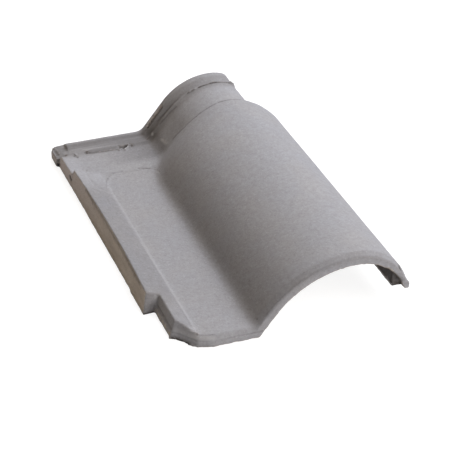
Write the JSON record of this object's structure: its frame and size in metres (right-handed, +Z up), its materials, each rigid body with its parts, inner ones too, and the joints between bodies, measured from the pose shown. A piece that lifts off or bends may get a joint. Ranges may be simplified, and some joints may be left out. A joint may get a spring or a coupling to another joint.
{
  "type": "roof tile",
  "caption": "Interlocking clay roof tile with a flat pan, a raised hollow roll, side upstand and a ringed neck for the head lap.",
  "frame": {"origin": "centre of the bounding box's base, on the level that the tile lies on", "axes": "+Y from the tail to the head along the roll, +Z up out of the pan, +X from the pan towards the roll"},
  "size_m": [0.2532, 0.41, 0.0747],
  "materials": {
    "fired_clay": "matt grey slip over brown fired clay"
  },
  "bodies": {
    "root": {"roof_tile": "fired_clay"}
  },
  "joints": []
}
